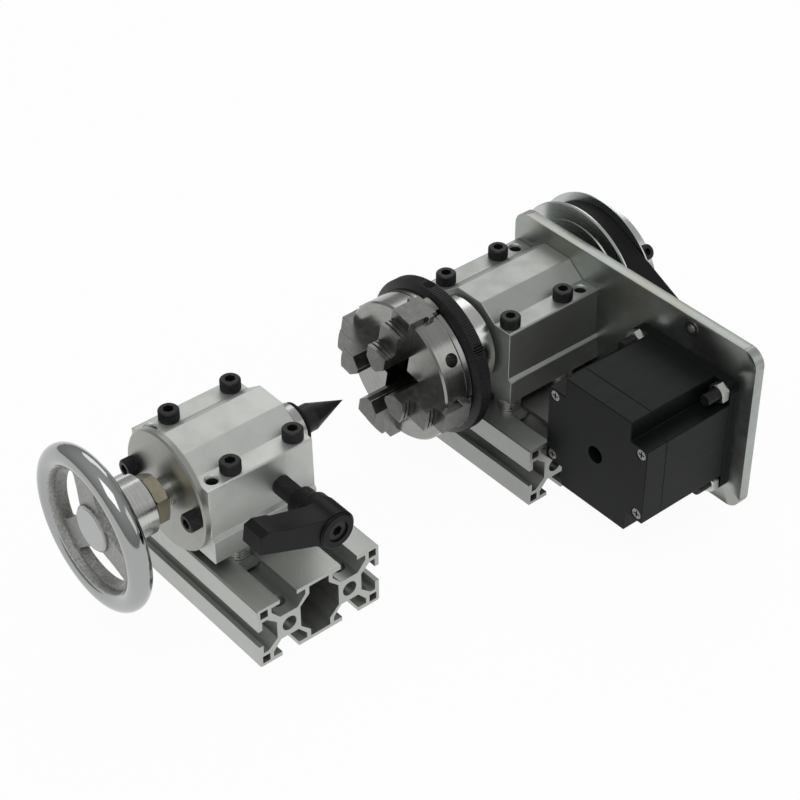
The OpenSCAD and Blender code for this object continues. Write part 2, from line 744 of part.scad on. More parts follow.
module chuck_body() {
    color([0.6, 0.6, 0.58])
    difference() {
        union() {
            turned()
                polygon([[0, face_x], [chuck_r - 0.8, face_x], [chuck_r, face_x + 0.8],
                    [chuck_r, front_x - 3.4], [chuck_r - 0.6, front_x - 3.4],
                    [chuck_r - 0.6, front_x - 2.8], [chuck_r, front_x - 2.8],
                    [chuck_r, front_x - 0.5], [chuck_r - 0.5, front_x], [recess_r, front_x],
                    [recess_r, recess_x], [scroll_hub_r, recess_x], [scroll_hub_r, hub_x0], [0, hub_x0]]);
        }
        x_rod(face_x - 1, hub_x0 + 1, throat_d / 2);
        for (k = [0:3]) translate([0, 0, axis_h]) rotate([jaw_angle + 90 * k, 0, 0]) jaw_slot();
        for (k = [0:1])
            translate([face_x + 7.2, 0, axis_h]) rotate([jaw_angle + 135 + 180 * k, 0, 0])
                rotate([-90, 0, 0]) translate([0, 0, chuck_r - 9]) cylinder(d = 6, h = 12, $fn = 32);
        for (a = chuck_screw_angles())
            translate([0, 0, axis_h]) rotate([a, 0, 0])
                x_rod(hub_x0 - 7, hub_x0 + 1, 1.25, chuck_screw_r, 0, 32);
    }
}

function chuck_screw_angles() = [for (k = [0:3]) jaw_angle + 45 + 90 * k];

module chuck_back_plate() {
    r = back_hub_d / 2;
    color([0.74, 0.73, 0.7])
    difference() {
        turned()
            polygon([[throat_d / 2 + 0.5, hub_x0], [r - 0.5, hub_x0], [r, hub_x0 + 0.5], [r, hub_x1 - 0.7],
                [r - 0.7, hub_x1], [spindle_d / 2, hub_x1], [spindle_d / 2, hub_x1 - 13],
                [throat_d / 2 + 0.5, hub_x1 - 13]]);
        for (a = chuck_screw_angles())
            translate([0, 0, axis_h]) rotate([a, 0, 0]) {
                x_rod(hub_x0 - 1, hub_x1 + 1, 1.4, chuck_screw_r, 0, 32);
                x_rod(hub_x0 + 4, hub_x1 + 1, 2.1, chuck_screw_r, 0, 32);
            }
    }
}

module chuck_screws() {
    color([0.2, 0.2, 0.2])
    for (a = chuck_screw_angles())
        translate([0, 0, axis_h]) rotate([a, 0, 0])
            translate([hub_x0 + 4, chuck_screw_r, 0]) rotate([0, 90, 0]) cap_screw(2.5, 10, 4, 2.5, 2);
}

// Radius of the scroll's groove at angle a on the ring, n turns out
function groove_r(a, n) = spiral_r0 + scroll_pitch / 2 + scroll_pitch * (a / 360 + n);
function spiral_pt(i, g) = let (a = i * 7.5, r = spiral_r0 + scroll_pitch * a / 360 + g)
    [r * cos(a), r * sin(a)];

module scroll_ring() {
    r = scroll_d / 2;
    color([0.1, 0.1, 0.11])
    difference() {
        union() {
            turned()
                polygon([[scroll_hub_r + run_fit, ring_x0], [chuck_r + 0.3, ring_x0],
                    [r, ring_x0 + 1.7], [r, ring_x1 - 0.7], [r - 0.7, ring_x1],
                    [scroll_hub_r + run_fit, ring_x1]]);
            translate([0, 0, axis_h]) across(ring_x0 - ridge_h) linear_extrude(ridge_h + 0.1)
                polygon(concat([for (i = [0:spiral_steps]) spiral_pt(i, -ridge_t / 2)],
                    [for (i = [spiral_steps:-1:0]) spiral_pt(i, ridge_t / 2)]));
        }
        for (k = [0:bar_hole_n - 1])
            translate([(ring_x0 + 1.7 + ring_x1) / 2, 0, axis_h])
                rotate([87 + k * 360 / bar_hole_n, 0, 0]) rotate([-90, 0, 0])
                    translate([0, 0, r - 7]) cylinder(d = bar_hole_d, h = 9, $fn = 32);
    }
}

// Plan of a jaw from its pointed tip outwards, drawn as (radius, width)
module jaw_plan(r0, r1) {
    w = jaw_w / 2 - run_fit;
    v = 1.2;
    polygon([[r0, -v], [r0 + w - v, -w], [r1, -w], [r1, w], [r0 + w - v, w], [r0, v]]);
}

// Jaw number k, counted from the first jaw
module jaw(k) {
    w = jaw_w / 2 - run_fit;
    back = recess_x - 0.1;
    a = jaw_angle + 90 * k;
    low = face_x - jaw_low_h;
    mid = face_x - jaw_mid_h;
    top = face_x - jaw_top_h;
    n0 = ceil((jaw_first_r - groove_r(a, 0)) / scroll_pitch);
    color([0.5, 0.5, 0.49])
    translate([0, 0, axis_h]) rotate([a, 0, 0]) {
        difference() {
            union() {
                across(low) linear_extrude(back - low) jaw_plan(jaw_tip_r, jaw_end_r);
                across(mid) linear_extrude(low - mid + e)
                    intersection() {
                        jaw_plan(jaw_tip_r, jaw_end_r);
                        circle(r = jaw_mid_r, $fn = 128);
                    }
                across(top) linear_extrude(mid - top + e)
                    intersection() {
                        jaw_plan(jaw_tip_r, jaw_end_r);
                        circle(r = jaw_top_r, $fn = 128);
                    }
                translate([tongue_x + 0.1, jaw_tip_r + 6, -tongue_w / 2 + 0.1])
                    cube([tongue_t - 0.2, jaw_end_r - jaw_tip_r - 6, tongue_w - 0.2]);
            }
            jaw_groove(top + 1.6, jaw_top_r);
            jaw_groove(top + 3.6, jaw_top_r);
            jaw_groove(mid + 1.6, jaw_mid_r);
            jaw_groove(mid + 3.6, jaw_mid_r);
        }
        for (n = [0:3]) {
            r = groove_r(a, n0 + n);
            if (r < jaw_end_r - 1)
                jaw_tooth(r, back);
        }
    }
}

// Narrow groove across a step's ground face
module jaw_groove(x, r) {
    across(x) linear_extrude(0.8)
        difference() {
            circle(r = r + 1, $fn = 128);
            circle(r = r - 0.7, $fn = 128);
        }
}

// One tooth on the back of a jaw, at radius r of the scroll's groove. Its flanks are
// flatter inside and rounder outside than any part of the scroll that they meet.
module jaw_tooth(r, back) {
    t = scroll_pitch - ridge_t - 0.8;
    translate([back - e, 0, 0]) rotate([90, 0, 90]) linear_extrude(ring_x0 - 0.4 - back)
        intersection() {
            translate([r - 2, -jaw_tooth_w / 2]) square([4, jaw_tooth_w]);
            translate([r + t / 2 - spiral_r0, 0]) circle(r = spiral_r0, $fn = 96);
            difference() {
                translate([r - 4, -jaw_w]) square([8, 2 * jaw_w]);
                translate([r - t / 2 - spiral_r1, 0]) circle(r = spiral_r1, $fn = 96);
            }
        }
}

module chuck_jaw_1() { jaw(0); }
module chuck_jaw_2() { jaw(1); }
module chuck_jaw_3() { jaw(2); }
module chuck_jaw_4() { jaw(3); }

module spindle_pulley() {
    hub = pulley_hub_d / 2;
    end = pulley_x1 + pulley_hub_len;
    color([0.78, 0.79, 0.8])
    difference() {
        union() {
            translate([0, 0, axis_h]) across(teeth_x) linear_extrude(teeth_w)
                pulley_2d(big_r, big_teeth, belt_dir + 180);
            x_rod(pulley_x - 0.4, teeth_x + e, hub, 0, axis_h, 96);
            turned()
                polygon([[0, pulley_x1 - flange_t - e], [hub, pulley_x1 - flange_t - e],
                    [hub, end - 0.8], [hub - 0.8, end], [0, end]]);
        }
        x_rod(pulley_x - 1, end + 1, spindle_d / 2);
        turned()
            polygon([[spindle_d / 2 + 5, end - 2], [hub - 4.5, end - 2], [hub - 4.5, end + 1],
                [spindle_d / 2 + 5, end + 1]]);
        translate([(pulley_x1 + end) / 2, 0, axis_h]) rotate([clamp_angle, 0, 0]) rotate([-90, 0, 0])
            translate([0, 0, spindle_d / 2 - 1]) cylinder(d = 4, h = hub, $fn = 32);
    }
}

module pulley_flanges() {
    r = big_flange_r;
    hub = pulley_hub_d / 2;
    color([0.82, 0.83, 0.84]) {
        turned(pulley_x)
            polygon([[hub, 0], [r - 0.6, 0], [r, 0.5], [r, flange_t - 0.3], [hub + 4, flange_t],
                [hub, flange_t]]);
        turned(pulley_x1 - flange_t)
            polygon([[hub, 0], [hub + 4, 0], [r, 0.3], [r, flange_t - 0.5], [r - 0.6, flange_t],
                [hub, flange_t]]);
    }
}

module pulley_clamp_screw() {
    hub = pulley_hub_d / 2;
    color([0.08, 0.08, 0.09])
    translate([(pulley_x1 * 2 + pulley_hub_len) / 2, 0, axis_h]) rotate([clamp_angle, 0, 0])
        rotate([-90, 0, 0]) translate([0, 0, hub])
            cap_screw(4, hub - spindle_d / 2 - 0.1, 7, 4, 3);
}

module motor_shaft() {
    color([0.7, 0.71, 0.72])
    difference() {
        x_rod(plate_x - motor_flange_t - 8, pulley_x1 + 1.2, motor_shaft_d / 2, motor_y, motor_z);
        translate([plate_x + 8, motor_y - 6, motor_z + motor_shaft_d / 2 - 0.6]) cube([60, 12, 3]);
    }
}

module motor_pulley() {
    end = pulley_x1 + 7;
    color([0.77, 0.78, 0.79])
    difference() {
        union() {
            translate([0, motor_y, motor_z]) across(teeth_x) linear_extrude(teeth_w)
                pulley_2d(small_r, small_teeth, belt_dir);
            x_rod(pulley_x, teeth_x + e, small_flange_r, motor_y, motor_z);
            x_rod(pulley_x1 - flange_t - e, pulley_x1, small_flange_r, motor_y, motor_z);
            x_rod(pulley_x1 - e, end, small_r, motor_y, motor_z);
        }
        difference() {
            x_rod(pulley_x - 1, end + 1, motor_shaft_d / 2, motor_y, motor_z);
            translate([plate_x + 8, motor_y - 6, motor_z + motor_shaft_d / 2 - 0.6]) cube([60, 12, 3]);
        }
        translate([pulley_x1 + 3.5, motor_y, motor_z]) cylinder(d = 4, h = small_r + 2, $fn = 32);
    }
}

module motor_pulley_screw() {
    color([0.1, 0.1, 0.1])
    translate([pulley_x1 + 3.5, motor_y, motor_z + motor_shaft_d / 2 - 0.55])
        difference() {
            cylinder(d = 4, h = 4.6, $fn = 32);
            translate([0, 0, 3]) cylinder(d = 2 / cos(30), h = 3, $fn = 6);
        }
}

module tailstock_profile() { base_profile(tail_cx, tail_shift); }
module tailstock_washers() { washer_stacks(tail_cx); }
module tailstock_tee_nuts() { tee_nuts(tail_cx); }
module tailstock_bolts() { housing_bolts(tail_cx); }

function disc_screw_at() = [for (s = [-1, 1]) [s * disc_span / 2, axis_h]];

module tailstock_housing() {
    color([0.77, 0.78, 0.77])
    difference() {
        across(tail_x0) linear_extrude(tail_len) housing_2d();
        housing_holes(tail_cx, tail_x0 + spare_inset);
        x_rod(tail_x0 - 1, tail_x1 + 1, quill_d / 2 + run_fit);
        x_rod(tail_x0 - 1, tail_x0 + 3.4, 14);
        for (p = disc_screw_at()) x_rod(tail_x0 - 1, tail_x0 + 9, 2.1, p[0], p[1], 32);
        translate([stud_x, 0, axis_h]) rotate([90, 0, 0])
            cylinder(r = stud_d / 2 + run_fit, h = 60, $fn = 48);
    }
}

module end_disc() {
    r = disc_d / 2;
    color([0.62, 0.62, 0.6])
    difference() {
        turned(disc_x)
            polygon([[screw_d / 2 + run_fit, 0], [r - 0.7, 0], [r, 0.7], [r, disc_t],
                [screw_d / 2 + run_fit, disc_t]]);
        for (p = disc_screw_at()) x_rod(disc_x - 1, tail_x0 + 1, 2.3, p[0], p[1], 32);
    }
}

module end_disc_screws() {
    color([0.09, 0.09, 0.1])
    for (p = disc_screw_at())
        translate([disc_x, p[0], p[1]]) rotate([0, -90, 0])
            cap_screw(4.2, disc_screw_len, bolt_head_d - 0.5, bolt_head_h, bolt_hex);
}

module quill() {
    r = quill_d / 2;
    color([0.66, 0.66, 0.65])
    difference() {
        turned()
            polygon([[screw_d / 2 + run_fit, quill_x0], [r - 0.5, quill_x0], [r, quill_x0 + 0.5],
                [r, quill_x1 - 0.8], [r - 0.8, quill_x1], [4 + run_fit, quill_x1],
                [4 + run_fit, quill_x1 - 9.2], [2.2, quill_x1 - 9.2], [2.2, quill_x1 - 11],
                [screw_d / 2 + run_fit, quill_x1 - 11]]);
        translate([quill_x0 + 6, -1.5, axis_h - r - 1]) cube([30, 3, 2.2]);
    }
}

module centre_seal() {
    r = quill_d / 2;
    color([0.05, 0.05, 0.05])
    turned(quill_x1)
        polygon([[4 + run_fit + 0.2, 0], [r - 1, 0], [r - 0.6, 0.4], [r - 0.6, 1.2], [r - 1, 1.5],
            [4 + run_fit + 0.2, 1.5]]);
}

module turning_centre() {
    r = centre_d / 2;
    x = quill_x1 + 1.5 + work_gap;
    collar = 6.3;
    color([0.13, 0.13, 0.13])
    turned(x)
        polygon([[0, -10.5], [3.6, -10.5], [4, -10.1], [4, 0], [r + 0.9, 0], [r + 0.9, 1.6], [r, 2],
            [r, collar], [0, collar + centre_len]]);
}

module feed_screw() {
    r = screw_d / 2;
    color([0.58, 0.58, 0.56])
    turned()
        polygon([[0, wheel_x + 2], [r, wheel_x + 2], [r, tail_x0 + 0.2], [r + 3.2, tail_x0 + 0.2],
            [r + 3.2, tail_x0 + 3.2], [r, tail_x0 + 3.2], [r, screw_tip_x - 1], [r - 1, screw_tip_x],
            [0, screw_tip_x]]);
}

module lock_nut() {
    color([0.66, 0.62, 0.5])
    translate([nut_x1 - nut_t, 0, axis_h]) rotate([0, 90, 0]) hex_nut(lock_nut_af, screw_d, nut_t);
}

module wheel_hub() {
    r = hub_d / 2;
    color([0.8, 0.8, 0.8])
    turned()
        polygon([[screw_d / 2, hub_end_x - hub_len], [r, hub_end_x - hub_len], [r, hub_end_x - 0.9],
            [r - 0.9, hub_end_x], [screw_d / 2, hub_end_x]]);
}

module handwheel() {
    ring_r = wheel_d / 2 - rim_d / 2;
    window_r = ring_r - rim_d / 2 - 1.5;
    back = hub_end_x - hub_len;
    web0 = wheel_x - 0.5;
    web1 = wheel_x + rim_d / 2 - 0.9;
    boss0 = wheel_x - 1.7;
    boss_r = 10;
    color([0.78, 0.79, 0.8])
    difference() {
        union() {
            turned(wheel_x) translate([ring_r, 0]) circle(d = rim_d, $fn = 48);
            turned()
                polygon([[window_r, web0], [ring_r, web0], [ring_r, web1], [window_r, web1]]);
            turned()
                polygon([[0, boss0], [boss_r - 0.8, boss0], [boss_r, boss0 + 0.8], [boss_r, web1 + 0.7],
                    [hub_d / 2 - 0.3, back], [0, back]]);
            for (k = [0:spoke_n - 1])
                translate([0, 0, axis_h]) rotate([wheel_turn + k * 360 / spoke_n, 0, 0])
                    across(web0 + 0.3) linear_extrude(web1 - web0 - 0.6)
                        polygon([[5, -spoke_w / 2 - 1], [ring_r * 0.5, -spoke_w / 2],
                            [window_r - 3, -spoke_w / 2], [ring_r - 1, -spoke_w / 2 - 4],
                            [ring_r - 1, spoke_w / 2 + 4], [window_r - 3, spoke_w / 2],
                            [ring_r * 0.5, spoke_w / 2], [5, spoke_w / 2 + 1]]);
        }
        x_rod(wheel_x + 2, back + 1, screw_d / 2);
    }
}

module clamp_stud() {
    color([0.1, 0.1, 0.11])
    translate([stud_x, 0, axis_h]) rotate([90, 0, 0])
        rotate_extrude($fn = 48)
            polygon([[0, quill_d / 2 + 0.3], [2.6, quill_d / 2 + 0.3], [2.6, quill_d / 2 + 1.6],
                [stud_d / 2, quill_d / 2 + 3], [stud_d / 2, stud_end], [lever_screw_r, stud_end],
                [lever_screw_r, stud_end - 6], [0, stud_end - 6]]);
}

module lever_spring() {
    color([0.5, 0.5, 0.5])
    translate([stud_x, 0, axis_h]) rotate([90, 0, 0])
        translate([0, 0, lever_web1])
            difference() {
                cylinder(r = 4.2, h = lever_head_w - lever_web1, $fn = 32);
                translate([0, 0, -1]) cylinder(r = 2.9, h = 20, $fn = 32);
            }
}

// Arm of the lever in the plane across its axis, pointing along -x
module arm_2d() {
    r0 = 8.4;
    tip = -lever_len - 4;
    circle(r = r0, $fn = 64);
    polygon([[0, r0], [-r0, 5.6], [tip + 12, 4.6], [tip + 10, 5.2], [tip + 3, 5.2], [tip, 3],
        [tip + 1.6, -4.6], [-r0, -5.8], [0, -r0]]);
}

module clamp_lever() {
    arm_t = 11;
    color([0.06, 0.06, 0.07])
    translate([stud_x, 0, axis_h]) rotate([90, 0, 0])
        difference() {
            union() {
                translate([0, 0, lever_y]) rotate_extrude($fn = 64)
                    polygon([[0, 0], [6, 0], [6.4, 0.4], [6.6, 5.4], [8, 7.4], [8, lever_hub_len - 0.8],
                        [7.2, lever_hub_len], [0, lever_hub_len]]);
                translate([0, 0, lever_y1 - arm_t - 1.2]) rotate(-lever_angle)
                    linear_extrude(arm_t) arm_2d();
            }
            translate([0, 0, lever_y - 1])
                cylinder(r = stud_d / 2 + run_fit, h = lever_web0 - lever_y + 1, $fn = 48);
            translate([0, 0, lever_web1]) cylinder(r = 4.6, h = lever_hub_len, $fn = 48);
            translate([0, 0, lever_y]) cylinder(r = lever_screw_r + 0.2, h = lever_hub_len, $fn = 48);
        }
}

module lever_screw() {
    color([0.09, 0.09, 0.1])
    translate([stud_x, 0, axis_h]) rotate([90, 0, 0])
        difference() {
            union() {
                translate([0, 0, lever_head_w]) cylinder(r = 4.4, h = 2.8, $fn = 48);
                translate([0, 0, stud_end - 5.8])
                    cylinder(r = lever_screw_r, h = lever_head_w - stud_end + 6, $fn = 32);
            }
            translate([0, 0, lever_head_w + 1]) cylinder(d = 4 / cos(30), h = 4, $fn = 6);
        }
}

headstock_profile();
headstock_washers();
headstock_tee_nuts();
headstock_bolts();
headstock_housing();
spindle_bearings();
motor_plate();
plate_screws();
plate_insert();
motor_flange();
motor_body();
motor_rear_cap();
motor_cap_screws();
motor_bolts();
motor_nuts();
motor_grommet();
drive_belt();
spindle_shaft();
chuck_body();
chuck_back_plate();
chuck_screws();
spindle_pulley();
pulley_flanges();
pulley_clamp_screw();
motor_shaft();
motor_pulley();
motor_pulley_screw();
scroll_ring();
chuck_jaw_1();
chuck_jaw_2();
chuck_jaw_3();
chuck_jaw_4();
tailstock_profile();
tailstock_washers();
tailstock_tee_nuts();
tailstock_bolts();
tailstock_housing();
end_disc();
end_disc_screws();
quill();
centre_seal();
turning_centre();
feed_screw();
lock_nut();
wheel_hub();
handwheel();
clamp_stud();
lever_spring();
clamp_lever();
lever_screw();
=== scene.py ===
# Looks of a small belt-driven rotary axis and its tailstock. Metres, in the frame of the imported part:
# X along the spindle towards the motor plate, Z up, origin on the table under the spindle.
import bpy
import bmesh
import json
import math
from mathutils import Matrix, Vector


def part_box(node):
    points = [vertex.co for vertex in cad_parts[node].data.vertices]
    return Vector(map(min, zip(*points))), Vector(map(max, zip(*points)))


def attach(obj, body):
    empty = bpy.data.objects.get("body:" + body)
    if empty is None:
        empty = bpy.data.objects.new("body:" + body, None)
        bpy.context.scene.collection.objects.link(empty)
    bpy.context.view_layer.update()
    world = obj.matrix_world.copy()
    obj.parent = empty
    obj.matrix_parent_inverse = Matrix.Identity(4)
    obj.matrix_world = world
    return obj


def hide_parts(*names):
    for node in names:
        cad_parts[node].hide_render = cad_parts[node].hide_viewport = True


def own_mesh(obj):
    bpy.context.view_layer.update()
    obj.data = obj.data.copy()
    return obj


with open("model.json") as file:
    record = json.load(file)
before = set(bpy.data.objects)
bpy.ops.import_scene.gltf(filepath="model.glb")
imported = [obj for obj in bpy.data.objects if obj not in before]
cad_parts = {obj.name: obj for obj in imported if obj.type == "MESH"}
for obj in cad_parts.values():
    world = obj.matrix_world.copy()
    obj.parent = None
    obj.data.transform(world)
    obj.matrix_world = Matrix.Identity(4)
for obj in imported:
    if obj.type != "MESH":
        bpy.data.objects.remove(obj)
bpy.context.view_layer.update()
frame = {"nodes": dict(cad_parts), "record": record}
nodes = frame["nodes"]
record = frame["record"]
BODY_OF = {node: body for body, group in record["behaviour"]["bodies"].items() for node in group}
JOINTS = {joint["name"]: joint for joint in record["behaviour"]["joints"]}
MOUNTS = {mount["name"]: mount for mount in record["mounts"]}
MM = 0.001
WELD = 0.002 * MM
AXIS = Vector((0.0, 0.0, JOINTS["spindle_spin"]["pos_m"][2]))


# Finishes
class Finish:
    """A material that is built up in layers, on Object coordinates."""

    def __init__(self, name, colour, metallic, roughness, **sockets):
        self.mat = bpy.data.materials.new(name)
        self.mat.use_nodes = True
        self.tree = self.mat.node_tree
        self.shader = self.tree.nodes["Principled BSDF"]
        self.colour = colour
        self.shader.inputs["Base Color"].default_value = (*colour, 1)
        self.shader.inputs["Metallic"].default_value = metallic
        self.shader.inputs["Roughness"].default_value = roughness
        for key, value in sockets.items():
            self.shader.inputs[key.replace("_", " ")].default_value = value
        self.where = self.add("ShaderNodeTexCoord").outputs["Object"]
        self.normal = None
        self.base = None
        self.rough = None

    def add(self, kind, **props):
        node = self.tree.nodes.new(kind)
        for key, value in props.items():
            setattr(node, key, value)
        return node

    def join(self, a, b):
        self.tree.links.new(a, b)

    def placed(self, scale=(1, 1, 1), centre=(0, 0, 0)):
        """Object coordinates about centre, multiplied by scale."""
        node = self.add("ShaderNodeMapping", vector_type="TEXTURE")
        node.inputs["Location"].default_value = centre
        node.inputs["Scale"].default_value = [1 / s for s in scale]
        self.join(self.where, node.inputs["Vector"])
        return node.outputs["Vector"]

    def math(self, op, a, b=None):
        node = self.add("ShaderNodeMath", operation=op)
        for slot, value in zip(node.inputs, (a, b)):
            if value is None:
                continue
            if isinstance(value, (int, float)):
                slot.default_value = value
            else:
                self.join(value, slot)
        return node.outputs[0]

    def noise(self, size_mm, detail=3, stretch=(1, 1, 1), roughness=0.55, seed=0.0):
        """Cloudy noise whose grains are about size_mm across, longer where stretch is large."""
        node = self.add("ShaderNodeTexNoise", noise_dimensions="4D")
        k = 1 / (size_mm * MM)
        self.join(self.placed([k / s for s in stretch]), node.inputs["Vector"])
        node.inputs["Scale"].default_value = 1
        node.inputs["W"].default_value = seed
        node.inputs["Detail"].default_value = detail
        node.inputs["Roughness"].default_value = roughness
        return node.outputs["Fac"]

    def ramp(self, fac, lo, hi, out0=0.0, out1=1.0):
        node = self.add("ShaderNodeMapRange", interpolation_type="SMOOTHSTEP")
        self.join(fac, node.inputs["Value"])
        for key, value in (("From Min", lo), ("From Max", hi), ("To Min", out0), ("To Max", out1)):
            node.inputs[key].default_value = value
        return node.outputs["Result"]

    def axis_radius(self, centre):
        """Distance from the line along X through centre."""
        sep = self.add("ShaderNodeSeparateXYZ")
        self.join(self.placed(centre=centre), sep.inputs[0])
        yy = self.math("MULTIPLY", sep.outputs["Y"], sep.outputs["Y"])
        zz = self.math("MULTIPLY", sep.outputs["Z"], sep.outputs["Z"])
        return self.math("SQRT", self.math("ADD", yy, zz))

    def pit(self, top, radius_mm):
        """1 inside an upright hole whose rim is at top, and 0 elsewhere."""
        sep = self.add("ShaderNodeSeparateXYZ")
        self.join(self.placed(centre=top), sep.inputs[0])
        xx = self.math("MULTIPLY", sep.outputs["X"], sep.outputs["X"])
        yy = self.math("MULTIPLY", sep.outputs["Y"], sep.outputs["Y"])
        near = self.math("LESS_THAN", self.math("SQRT", self.math("ADD", xx, yy)), radius_mm * MM)
        below = self.math("LESS_THAN", sep.outputs["Z"], -0.5 * MM)
        return self.math("MULTIPLY", near, below)

    def turning(self, centre, pitch_mm=0.35):
        """Lathe marks: noise over the radius, and along X on the outer surfaces."""
        sep = self.add("ShaderNodeSeparateXYZ")
        self.join(self.placed(centre=centre), sep.inputs[0])
        radius = self.axis_radius(centre)
        join = self.add("ShaderNodeCombineXYZ")
        k = 1 / (pitch_mm * MM)
        self.join(self.math("MULTIPLY", radius, k), join.inputs["X"])
        self.join(self.math("MULTIPLY", sep.outputs["X"], k), join.inputs["Y"])
        node = self.add("ShaderNodeTexNoise", noise_dimensions="3D")
        self.join(join.outputs[0], node.inputs["Vector"])
        node.inputs["Scale"].default_value = 1
        node.inputs["Detail"].default_value = 3
        node.inputs["Roughness"].default_value = 0.7
        return node.outputs["Fac"]

    def tint(self, fac, colour, amount=1.0):
        """Mixes a second colour in where fac is high."""
        mix = self.add("ShaderNodeMix", data_type="RGBA")
        if amount != 1.0:
            fac = self.math("MULTIPLY", fac, amount)
        self.join(fac, mix.inputs["Factor"])
        if self.base is None:
            mix.inputs["A"].default_value = (*self.colour, 1)
        else:
            self.join(self.base, mix.inputs["A"])
        mix.inputs["B"].default_value = (*colour, 1)
        self.base = mix.outputs["Result"]

    def polish(self, fac, low, high):
        """Roughness from low to high as fac goes from 0 to 1."""
        self.rough = self.ramp(fac, 0.0, 1.0, low, high)

    def relief(self, fac, height_mm, strength=1.0):
        node = self.add("ShaderNodeBump")
        node.inputs["Strength"].default_value = strength
        node.inputs["Distance"].default_value = height_mm * MM
        self.join(fac, node.inputs["Height"])
        if self.normal is not None:
            self.join(self.normal, node.inputs["Normal"])
        self.normal = node.outputs["Normal"]

    def done(self):
        for key, link in (("Base Color", self.base), ("Roughness", self.rough), ("Normal", self.normal)):
            if link is not None:
                self.join(link, self.shader.inputs[key])
        return self.mat


def scaled(colour, level):
    return tuple(c * level for c in colour)


# A level below 1 gives a copy of the finish with painted shade over the whole part.
def extruded_aluminium(name, level):
    f = Finish(name, scaled((0.44, 0.455, 0.43), level), 0.9, 0.42)
    lines = f.noise(0.5, 3, (1, 260, 1), seed=2)
    cloud = f.noise(14, 3, seed=5)
    f.tint(f.ramp(lines, 0.35, 0.75), scaled((0.55, 0.565, 0.54), level), 0.6)
    f.tint(f.ramp(cloud, 0.45, 0.8), scaled((0.36, 0.37, 0.355), level), 0.35)
    f.polish(lines, 0.32, 0.5)
    f.relief(lines, 0.05, 0.35)
    f.relief(f.noise(0.15, 2, seed=9), 0.02, 0.25)
    return f.done()


def blasted_aluminium(name, level, holes):
    """Blasted skin, with painted shade inside the empty threaded holes at holes; a level below 1 paints shade
    over the whole skin.
    """
    f = Finish(name, scaled((0.56, 0.58, 0.55), level), 0.85, 0.45)
    grain = f.noise(0.22, 3, seed=3)
    cloud = f.noise(9, 3, seed=11)
    f.tint(f.ramp(grain, 0.5, 0.8), scaled((0.72, 0.735, 0.71), level), 0.6)
    f.tint(f.ramp(cloud, 0.4, 0.75), scaled((0.46, 0.475, 0.45), level), 0.4)
    for hole in holes:
        # Painted shade inside each empty hole.
        f.tint(f.pit(hole, HOLE_SHADE_R), (0.02, 0.02, 0.02), 0.95)
    f.polish(cloud, 0.38, 0.54)
    f.relief(grain, 0.05, 0.5)
    return f.done()


def pulley_aluminium():
    f = Finish("turned pulley", (0.50, 0.52, 0.51), 1.0, 0.28)
    marks = f.turning(AXIS, 0.25)
    f.tint(f.ramp(marks, 0.4, 0.7), (0.58, 0.60, 0.59), 0.5)
    f.polish(marks, 0.2, 0.32)
    f.relief(marks, 0.012, 0.2)
    return f.done()


def plated_plate():
    f = Finish("zinc plated plate", (0.33, 0.35, 0.335), 1.0, 0.3)
    cloud = f.noise(16, 5, roughness=0.6, seed=4)
    streak = f.noise(1.2, 3, (1, 30, 1), seed=8)
    warm = f.noise(22, 3, roughness=0.6, seed=14)
    f.tint(f.ramp(cloud, 0.4, 0.7), (0.42, 0.45, 0.435), 0.8)
    f.tint(f.ramp(warm, 0.45, 0.7), (0.34, 0.32, 0.25), 0.5)
    f.tint(f.ramp(streak, 0.5, 0.8), (0.26, 0.275, 0.265), 0.4)
    f.polish(cloud, 0.28, 0.46)
    f.relief(f.noise(0.3, 2, seed=6), 0.02, 0.3)
    return f.done()


def plated_steel(name, colour, rough=0.3):
    f = Finish(name, colour, 1.0, rough)
    cloud = f.noise(2.5, 3, seed=7)
    f.tint(f.ramp(cloud, 0.4, 0.75), scaled(colour, 0.72), 0.6)
    f.polish(cloud, rough - 0.08, rough + 0.12)
    f.relief(f.noise(0.2, 2, seed=1), 0.02, 0.3)
    return f.done()


def black_oxide():
    f = Finish("black oxide", (0.01, 0.01, 0.011), 0.0, 0.4, Specular_IOR_Level=0.25)
    cloud = f.noise(1.5, 3, seed=13)
    f.tint(f.ramp(cloud, 0.45, 0.8), (0.03, 0.03, 0.032), 0.7)
    f.polish(cloud, 0.3, 0.5)
    f.relief(f.noise(0.15, 2, seed=3), 0.02, 0.4)
    return f.done()


def motor_paint():
    f = Finish("black motor casing", (0.005, 0.0058, 0.0062), 0.0, 0.4, Specular_IOR_Level=0.12)
    speck = f.noise(0.35, 2, seed=21)
    lines = f.noise(0.5, 2, (60, 1, 1), seed=22)
    f.tint(f.ramp(speck, 0.6, 0.85), (0.02, 0.022, 0.024), 0.5)
    f.polish(lines, 0.34, 0.5)
    f.relief(speck, 0.03, 0.35)
    return f.done()


def chuck_steel():
    f = Finish("ground chuck steel", (0.27, 0.275, 0.26), 1.0, 0.22)
    marks = f.turning(AXIS, 0.8)
    cloud = f.noise(7, 4, seed=31)
    f.tint(f.ramp(marks, 0.35, 0.7), (0.35, 0.355, 0.335), 0.6)
    f.tint(f.ramp(cloud, 0.5, 0.8), (0.16, 0.155, 0.145), 0.4)
    f.polish(marks, 0.17, 0.25)
    f.relief(marks, 0.01, 0.12)
    return f.done()


def jaw_steel():
    f = Finish("hardened jaw steel", (0.16, 0.163, 0.155), 1.0, 0.28)
    cloud = f.noise(3, 4, seed=41)
    scratch = f.noise(0.3, 3, (30, 2, 2), seed=42)
    f.tint(f.ramp(cloud, 0.4, 0.75), (0.25, 0.25, 0.235), 0.7)
    f.tint(f.ramp(scratch, 0.55, 0.8), (0.09, 0.09, 0.085), 0.5)
    f.polish(cloud, 0.24, 0.44)
    f.relief(scratch, 0.03, 0.4)
    return f.done()


